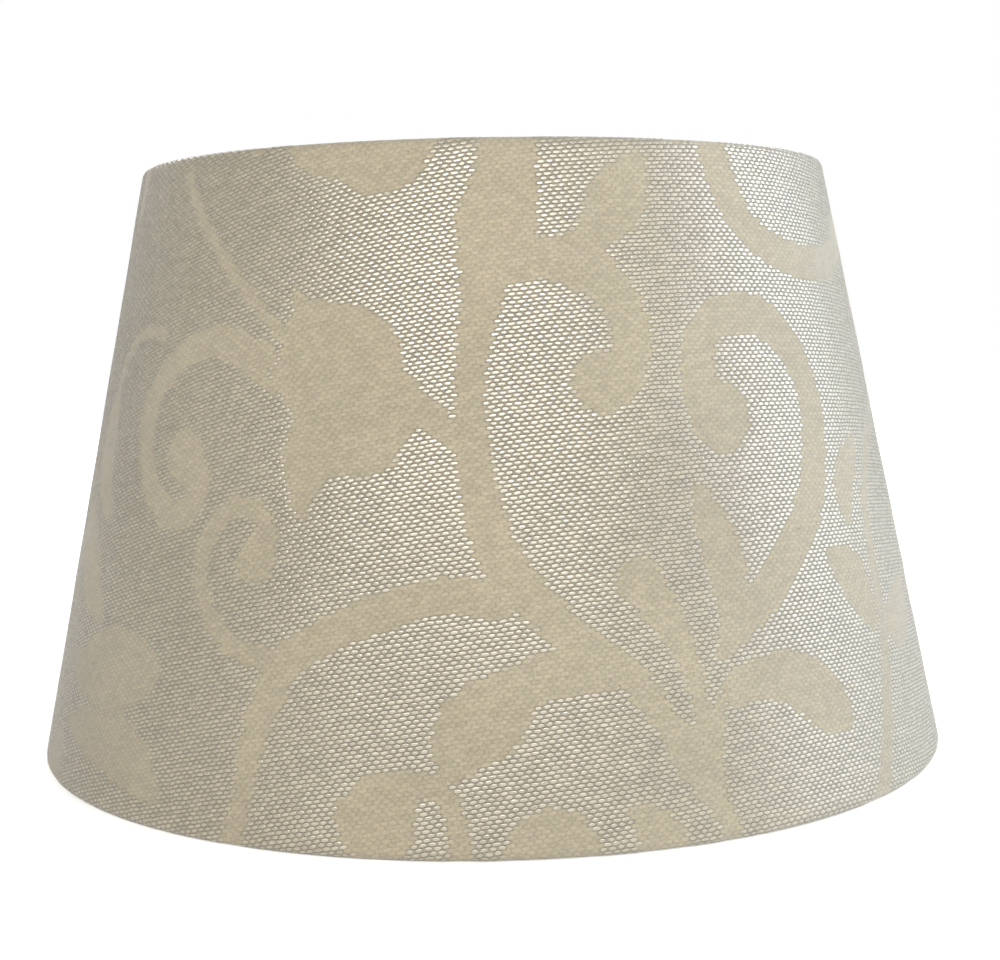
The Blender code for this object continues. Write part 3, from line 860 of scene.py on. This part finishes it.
for word, side in (("left", -1), ("right", 1)):
    route = []
    for edge in (1, -1):
        outer, inner, slope = arm_leg(side, edge)
        start = outer + (inner - outer).normalized() * (RING_WIRE / 2 + GLUE_GAP)
        route += [start, inner] if edge > 0 else [inner, start]
    sweep = math.pi - 2 * slope
    bend = []
    for step in range(1, BEND_STEPS):
        angle = math.pi / 2 + slope + sweep * step / BEND_STEPS
        across, along = ARM_REACH + ARM_BEND * math.cos(angle), ARM_BEND * math.sin(angle)
        bend.append(Vector((side * across, along, arm_height)))
    arm = bent_wire(f"arm_wire_{word}", route[:2] + bend + route[2:], RING_WIRE)
    for end in (route[0], route[-1]):
        add_bead(arm, end, BEAD_REACH, (0.8, 0.8, 0.8))
    add_coated(f"arm_wire_{word}", arm, "shade", f"arm_{word}")

# ---- Lugs ----
# Small steel plates with round ends, welded upright across the bend of each arm. The pivot pin turns
# in the hole in their lower end.
LUG_EDGE = 0.0003  # roundness of the punched edges
LUG_SIDES = 48
PIN_HOLE = 0.0036
WELD_SIZE = 0.0016
WELD_SINK = 0.0002  # into the plate's outer face
WELD_APART = 0.0022  # each side of the plate's middle


def rounded_edges(work, edges, size, steps):
    """Rounds those edges off."""
    bmesh.ops.bevel(work, geom=edges, offset=size, segments=steps, affect="EDGES", profile=0.5, material=-1)


for word, side in (("left", -1), ("right", 1)):
    low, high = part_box(f"lug_{word}")
    half = (high.y - low.y) / 2
    pivot = low.z + half
    rise = high.z - low.z - 2 * half
    lug = bmesh.new()
    facing = Matrix.Translation((low.x, 0, pivot)) @ Matrix.Rotation(math.pi / 2, 4, "Y")
    rim = bmesh.ops.create_circle(lug, segments=LUG_SIDES, radius=half, matrix=facing)["verts"]
    for vert in rim:
        vert.co.z += rise if vert.co.z > pivot + 1e-6 else 0.0
    bmesh.ops.create_circle(lug, segments=LUG_SIDES, radius=PIN_HOLE / 2, matrix=facing)
    bmesh.ops.bridge_loops(lug, edges=lug.edges[:])
    plate = bmesh.ops.extrude_face_region(lug, geom=lug.faces[:])
    moved = [item for item in plate["geom"] if isinstance(item, bmesh.types.BMVert)]
    bmesh.ops.translate(lug, verts=moved, vec=(high.x - low.x, 0, 0))
    bmesh.ops.recalc_face_normals(lug, faces=lug.faces)
    corners = [e for e in lug.edges if e.is_manifold and e.calc_face_angle() > math.radians(50)]
    rounded_edges(lug, corners, LUG_EDGE, 3)
    outer_face = high.x if side > 0 else low.x
    for edge in (-1, 1):
        place = (outer_face - side * WELD_SINK, edge * WELD_APART, arm_height)
        add_bead(lug, place, WELD_SIZE, (0.5, 1.3, 0.75))
    add_coated(f"lug_plate_{word}", lug, "shade", f"lug_{word}")

# ---- Stirrups ----
# Each is one wire: its end goes out through the lug and is upset into a head, then it bends down as
# the gimbal's leg and in under the fitter ring, where the flattened foot is spot-welded.
STIRRUP_WIRE = 0.0028
STIRRUP_BEND = 0.004
FOOT_BEND = 0.0024
HEAD_LENGTH = 0.0012
HEAD_FULLNESS = 0.0026 / 0.0014  # the head's radius to the wire's
FITTER_OUTER = 0.058
STIRRUP_LAP = 0.004  # of the foot under the ring
STIRRUP_SPACE = 0.0024  # between the leg and the lug
CORNER_STEPS = 12
PRESS_START, PRESS_LENGTH = 0.001, 0.002  # where the foot starts to flatten, before the ring's edge
PRESS_FLAT, PRESS_WIDE = 0.12, 0.18  # how much lower and wider it is pressed
# Shares of the head's length, from its end in, each with a share of its full radius.
HEAD_PROFILE = ((1.0, 0.55), (0.93, 0.80), (0.78, 0.95), (0.5, 1.0), (0.2, 0.97), (0.04, 0.90), (0.0, 0.55))

fitter_low, fitter_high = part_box("fitter_ring")


def rounded_route(corners, radii):
    """The corners' route with each inner corner made an arc of its radius."""
    corners = [Vector(corner) for corner in corners]
    route = [corners[0]]
    for before, corner, after, radius in zip(corners, corners[1:], corners[2:], radii):
        back, on = (before - corner).normalized(), (after - corner).normalized()
        half = back.angle(on) / 2
        middle = corner + (back + on).normalized() * (radius / math.sin(half))
        first = corner + back * (radius / math.tan(half)) - middle
        last = corner + on * (radius / math.tan(half)) - middle
        sweep = first.angle(last)
        for step in range(CORNER_STEPS + 1):
            turn = sweep * step / CORNER_STEPS
            spoke = (first * math.sin(sweep - turn) + last * math.sin(turn)) / math.sin(sweep)
            route.append(middle + spoke)
    return route + [corners[-1]]


for word, side in (("left", -1), ("right", 1)):
    low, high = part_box(f"stirrup_{word}")
    lug_low, lug_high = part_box(f"lug_{word}")
    head_end = high.x if side > 0 else low.x
    inner_face = lug_low.x if side > 0 else lug_high.x
    leg = inner_face - side * (STIRRUP_SPACE + STIRRUP_WIRE / 2)
    foot = fitter_low.z - GLUE_GAP - STIRRUP_WIRE / 2
    corners = [
        (head_end - side * HEAD_LENGTH, 0, pivot),
        (leg, 0, pivot),
        (leg, 0, foot),
        (side * (FITTER_OUTER / 2 - STIRRUP_LAP), 0, foot),
    ]
    route = rounded_route(corners, (STIRRUP_BEND, FOOT_BEND))
    head, fullness = [], []
    for share, full in HEAD_PROFILE:
        head.append(Vector((head_end - side * HEAD_LENGTH * (1 - share), 0, pivot)))
        fullness.append(full * HEAD_FULLNESS)
    fullness += [1.0] * (len(route) - 1)
    stirrup = bent_wire(f"stirrup_wire_{word}", head + route[1:], STIRRUP_WIRE, fullness)
    for vert in stirrup.verts:  # the foot is pressed a little flat under the ring
        inward = FITTER_OUTER / 2 - side * vert.co.x
        if vert.co.z < foot + STIRRUP_WIRE and inward > -PRESS_START:
            press = min(max((inward + PRESS_START) / PRESS_LENGTH, 0.0), 1.0)
            vert.co.z = foot + (vert.co.z - foot) * (1 - PRESS_FLAT * press)
            vert.co.y *= 1 + PRESS_WIDE * press
    add_coated(f"stirrup_wire_{word}", stirrup, "gimbal", f"stirrup_{word}")

# ---- Fitter ring ----
# A pressed steel washer that sits on the lampholder, under its shade ring. Its edges are rolled, and
# each foot's spot weld has left a shallow dent in its upper face.
FITTER_HOLE = 0.042
FITTER_EDGE = 0.0005
FITTER_SEGMENTS = 144
FITTER_BANDS = 12  # the upper face is split into these, so that it can be dented
ROUNDING_STEPS = 4
DENT_DEPTH = 0.00022
DENT_SPREAD = 0.0011
DENT_BAND = 0.0001  # only what lies this near the upper face is dented


def turned_ring(corners, segments, edge_radii):
    """A closed profile of (radius, height) corners, each rounded, turned into a ring."""
    work = bmesh.new()
    outline = []
    count = len(corners)
    for index, (corner, radius) in enumerate(zip(corners, edge_radii)):
        before, here, after = (Vector(corners[(index + k) % count]) for k in (-1, 0, 1))
        if not radius:
            outline.append(here)
            continue
        back, on = (before - here).normalized(), (after - here).normalized()
        for step in range(ROUNDING_STEPS + 1):
            share = step / ROUNDING_STEPS
            bow = (1 - share) ** 2 * back + share**2 * on
            outline.append(here + bow * radius)
    verts = [work.verts.new((p.x, 0, p.y)) for p in outline]
    edges = [work.edges.new((a, b)) for a, b in zip(verts, verts[1:] + verts[:1])]
    return turned_round(work, verts + edges, segments)


fitter_corners, fitter_radii = [], []
for step in range(FITTER_BANDS + 1):
    share = step / FITTER_BANDS
    fitter_corners.append((FITTER_HOLE / 2 + share * (FITTER_OUTER - FITTER_HOLE) / 2, fitter_high.z))
    fitter_radii.append(FITTER_EDGE if step in (0, FITTER_BANDS) else 0)
fitter_corners += [(FITTER_OUTER / 2, fitter_low.z), (FITTER_HOLE / 2, fitter_low.z)]
fitter_radii += [FITTER_EDGE, FITTER_EDGE]
fitter = turned_ring(fitter_corners, FITTER_SEGMENTS, fitter_radii)
dent_at = FITTER_OUTER / 2 - STIRRUP_LAP / 2
for vert in fitter.verts:
    if vert.co.z > fitter_high.z - DENT_BAND:
        far = math.hypot(abs(vert.co.x) - dent_at, vert.co.y)
        vert.co.z -= DENT_DEPTH * math.exp(-((far / DENT_SPREAD) ** 2))
add_coated("fitter_washer", fitter, "gimbal", "fitter_ring")

# ---- Reducer ring ----
# A white moulded plastic ring that drops into the fitter ring, for a lampholder of the smaller size.
# It has soft moulded edges, and four thin ribs on its spigot that grip the steel.
REDUCER_HOLE = 0.029
REDUCER_SPIGOT = 0.0412
REDUCER_EDGE = 0.0004
REDUCER_CORNER = 0.0002  # in the angle between flange and spigot
REDUCER_SEGMENTS = 120
RIB_SIZE = (0.0005, 0.0012, 0.0024)
RIB_SINK = 0.0003  # into the spigot
RIB_DROP = 0.0001  # below the spigot's middle
RIB_EDGE = 0.0001
PLASTIC_WHITE = (0.84, 0.845, 0.83)

reducer_low, reducer_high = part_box("reducer_ring")
flange_outer = (reducer_high.x - reducer_low.x) / 2
flange_under = fitter_high.z + GLUE_GAP
reducer = turned_ring(
    [
        (REDUCER_HOLE / 2, reducer_high.z),
        (flange_outer, reducer_high.z),
        (flange_outer, flange_under),
        (REDUCER_SPIGOT / 2, flange_under),
        (REDUCER_SPIGOT / 2, reducer_low.z),
        (REDUCER_HOLE / 2, reducer_low.z),
    ],
    REDUCER_SEGMENTS,
    [REDUCER_EDGE * 1.3, REDUCER_EDGE * 1.5, REDUCER_EDGE, REDUCER_CORNER, REDUCER_EDGE * 1.5, REDUCER_EDGE],
)
for rib in range(4):
    turn = Matrix.Rotation(math.pi / 4 + rib * math.pi / 2, 4, "Z")
    rib_middle = REDUCER_SPIGOT / 2 + RIB_SIZE[0] / 2 - RIB_SINK
    rib_height = (flange_under + reducer_low.z) / 2 - RIB_DROP
    block = Matrix.Translation((rib_middle, 0, rib_height)) @ Matrix.Diagonal((*RIB_SIZE, 1.0))
    ends = bmesh.ops.create_cube(reducer, size=1.0, matrix=turn @ block)["verts"]
    sharp = list({edge for vert in ends for edge in vert.link_edges})
    rounded_edges(reducer, sharp, RIB_EDGE, 2)


def moulded_white():
    """Plain white moulded plastic: low gloss, a faint spark-eroded grain and slight flow marks."""
    material, tree, shader = new_finish("moulded_white")
    grain, _ = cloudy(tree, object_place(tree), 2600.0, 2.0)
    flow, _ = cloudy(tree, object_place(tree, (1.0, 1.0, 4.0)), 60.0, 3.0)
    toned(tree, shader, PLASTIC_WHITE, faded(tree, flow, 0.3, 0.7, 0.96, 1.02))
    wired(tree, shader.inputs["Roughness"], faded(tree, flow, 0.3, 0.7, 0.34, 0.45))
    bumped(tree, shader, grain, 0.00002)
    return material


reducer_mesh = as_mesh("reducer_moulding", reducer, CREASE)
add_piece("reducer_moulding", reducer_mesh, "reducer", moulded_white(), "white_plastic", "reducer_ring")

# ---- Floor and light ----
# A plain pale floor in an even white studio, with a long low light in front, a broad cool one on the
# right and a wide one behind. Studio and floor look white but give the shade much less light, and the
# floor can't be seen from below. The floor's glow is turned down round the shade, a painted shadow.
FLOOR_RADIUS = 6.0
FLOOR_DROP = 0.0002
FLOOR_WHITE = (0.90, 0.90, 0.89)
STUDIO_LEFT, STUDIO_RIGHT = 0.06, 0.24  # how bright the white surroundings are, as light
FLOOR_GLOW_AND_SHADOW = (0.60, 0.93)  # glow as a light table's, seen only straight on: dimmed under the shade to paint a shadow there, and full far away
# Distances from the axis over which the painted shadow in the floor's glow fades out.
SHADOW_FADE_NEAR, SHADOW_FADE_FAR = 0.25, 1.2
LIGHT_AIM = 0.1  # height of the point that the lights are turned to

ground_disc = bmesh.new()
floor_place = Matrix.Translation((0, 0, -FLOOR_DROP))
bmesh.ops.create_circle(ground_disc, cap_ends=True, segments=96, radius=FLOOR_RADIUS, matrix=floor_place)
floor = put_in_scene("floor", as_mesh("floor", ground_disc))
floor_finish, floor_tree, floor_shader = new_finish("pale_floor")
floor_shader.inputs["Base Color"].default_value = (*FLOOR_WHITE, 1.0)
floor_shader.inputs["Roughness"].default_value = 0.9
floor_shader.inputs["Emission Color"].default_value = (1.0, 1.0, 1.0, 1.0)
outwards = floor_tree.nodes.new("ShaderNodeVectorMath")
outwards.operation = "LENGTH"
wired(floor_tree, outwards.inputs[0], floor_tree.nodes.new("ShaderNodeTexCoord").outputs["Object"])
# The glow is dimmer near the shade: a painted shadow.
glow_and_shadow = faded(floor_tree, outwards.outputs["Value"], SHADOW_FADE_NEAR, SHADOW_FADE_FAR, *FLOOR_GLOW_AND_SHADOW)
seen = floor_tree.nodes.new("ShaderNodeLightPath").outputs["Is Camera Ray"]
wired(floor_tree, floor_shader.inputs["Emission Strength"], times(floor_tree, glow_and_shadow, seen))
clear = floor_tree.nodes.new("ShaderNodeBsdfTransparent")
one_way = floor_tree.nodes.new("ShaderNodeMixShader")
wired(floor_tree, one_way.inputs[0], floor_tree.nodes.new("ShaderNodeNewGeometry").outputs["Backfacing"])
wired(floor_tree, one_way.inputs[1], floor_shader.outputs[0])
wired(floor_tree, one_way.inputs[2], clear.outputs[0])
wired(floor_tree, floor_tree.nodes["Material Output"].inputs["Surface"], one_way.outputs[0])
floor.data.materials.append(floor_finish)

world = bpy.data.worlds.new("studio")
bpy.context.scene.world = world
world.use_nodes = True
sky = world.node_tree
behind = sky.nodes["Background"]
ray = sky.nodes.new("ShaderNodeLightPath")
towards = parts_of(sky, sky.nodes.new("ShaderNodeTexCoord").outputs["Generated"])[0]
lit = faded(sky, towards, -1.0, 1.0, STUDIO_LEFT, STUDIO_RIGHT, False)
wired(sky, behind.inputs["Strength"], maths(sky, "MAXIMUM", lit, ray.outputs["Is Camera Ray"]))
behind.inputs["Color"].default_value = (1.0, 1.0, 1.0, 1.0)


def soft_light(name, azimuth, elevation, distance, width, height, brightness, colour):
    """An area light aimed at the middle of the shade; azimuth goes from the front towards +X, in degrees."""
    data = bpy.data.lights.new(name, "AREA")
    data.shape = "RECTANGLE"
    data.size, data.size_y = width, height
    data.energy = brightness * math.pi * width * height
    data.color = colour
    light = put_in_scene(name, data)
    turn, rise = math.radians(azimuth), math.radians(elevation)
    out = Vector((math.sin(turn) * math.cos(rise), -math.cos(turn) * math.cos(rise), math.sin(rise)))
    light.location = Vector((0, 0, LIGHT_AIM)) + distance * out
    light.rotation_euler = (-out).to_track_quat("-Z", "Y").to_euler()


soft_light("front_light", -5, 25, 1.7, 2.6, 0.16, 19.0, (1.0, 0.97, 0.91))
soft_light("right_light", 98, 20, 2.0, 1.6, 1.4, 3.9, (0.80, 0.90, 1.0))
soft_light("back_light", 186, 28, 2.0, 2.0, 0.5, 5.5, (1.0, 0.98, 0.94))

bpy.context.scene.view_settings.view_transform = "Standard"
